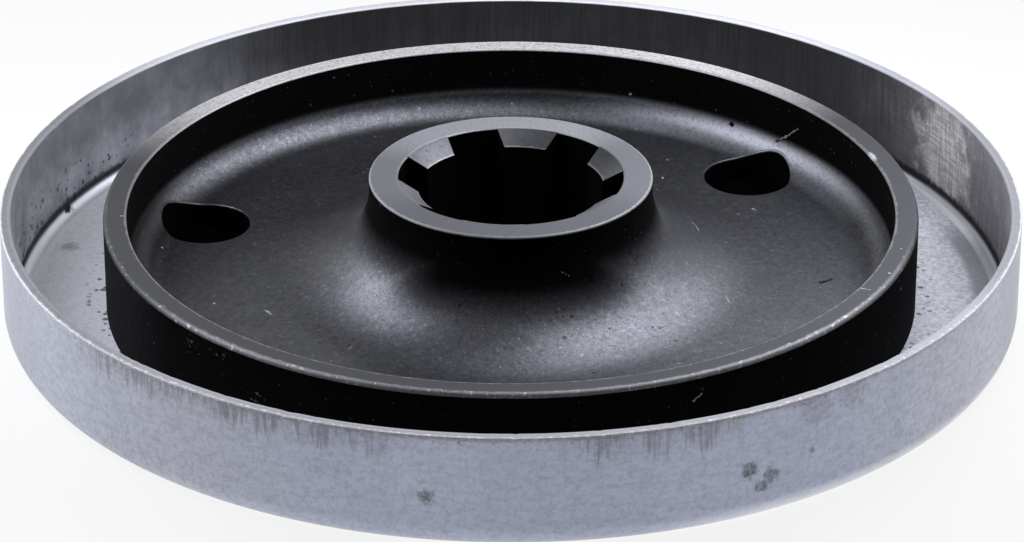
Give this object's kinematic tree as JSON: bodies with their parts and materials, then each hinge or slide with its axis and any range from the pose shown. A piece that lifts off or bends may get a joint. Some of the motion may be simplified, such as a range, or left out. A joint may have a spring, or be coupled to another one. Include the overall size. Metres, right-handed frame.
{
  "type": "starter pulley",
  "caption": "Starter pulley for a garden machine: a shallow bare steel dish with a black cup standing in it, a flared hub with an internal straight-sided spline, and round web holes.",
  "frame": {"origin": "centre of the dish's underside", "axes": "+Z along the pulley's axis, out of the open side; +Y away from the picture's camera"},
  "size_m": [0.14, 0.14, 0.0191],
  "materials": {
    "bare_steel": "bare pressed steel sheet, satin, scuffed",
    "black_steel": "black oxide, satin, with bare edges and a bare turned rim"
  },
  "bodies": {
    "root": {"outer_dish": "bare_steel", "splined_cup": "black_steel"}
  },
  "joints": []
}
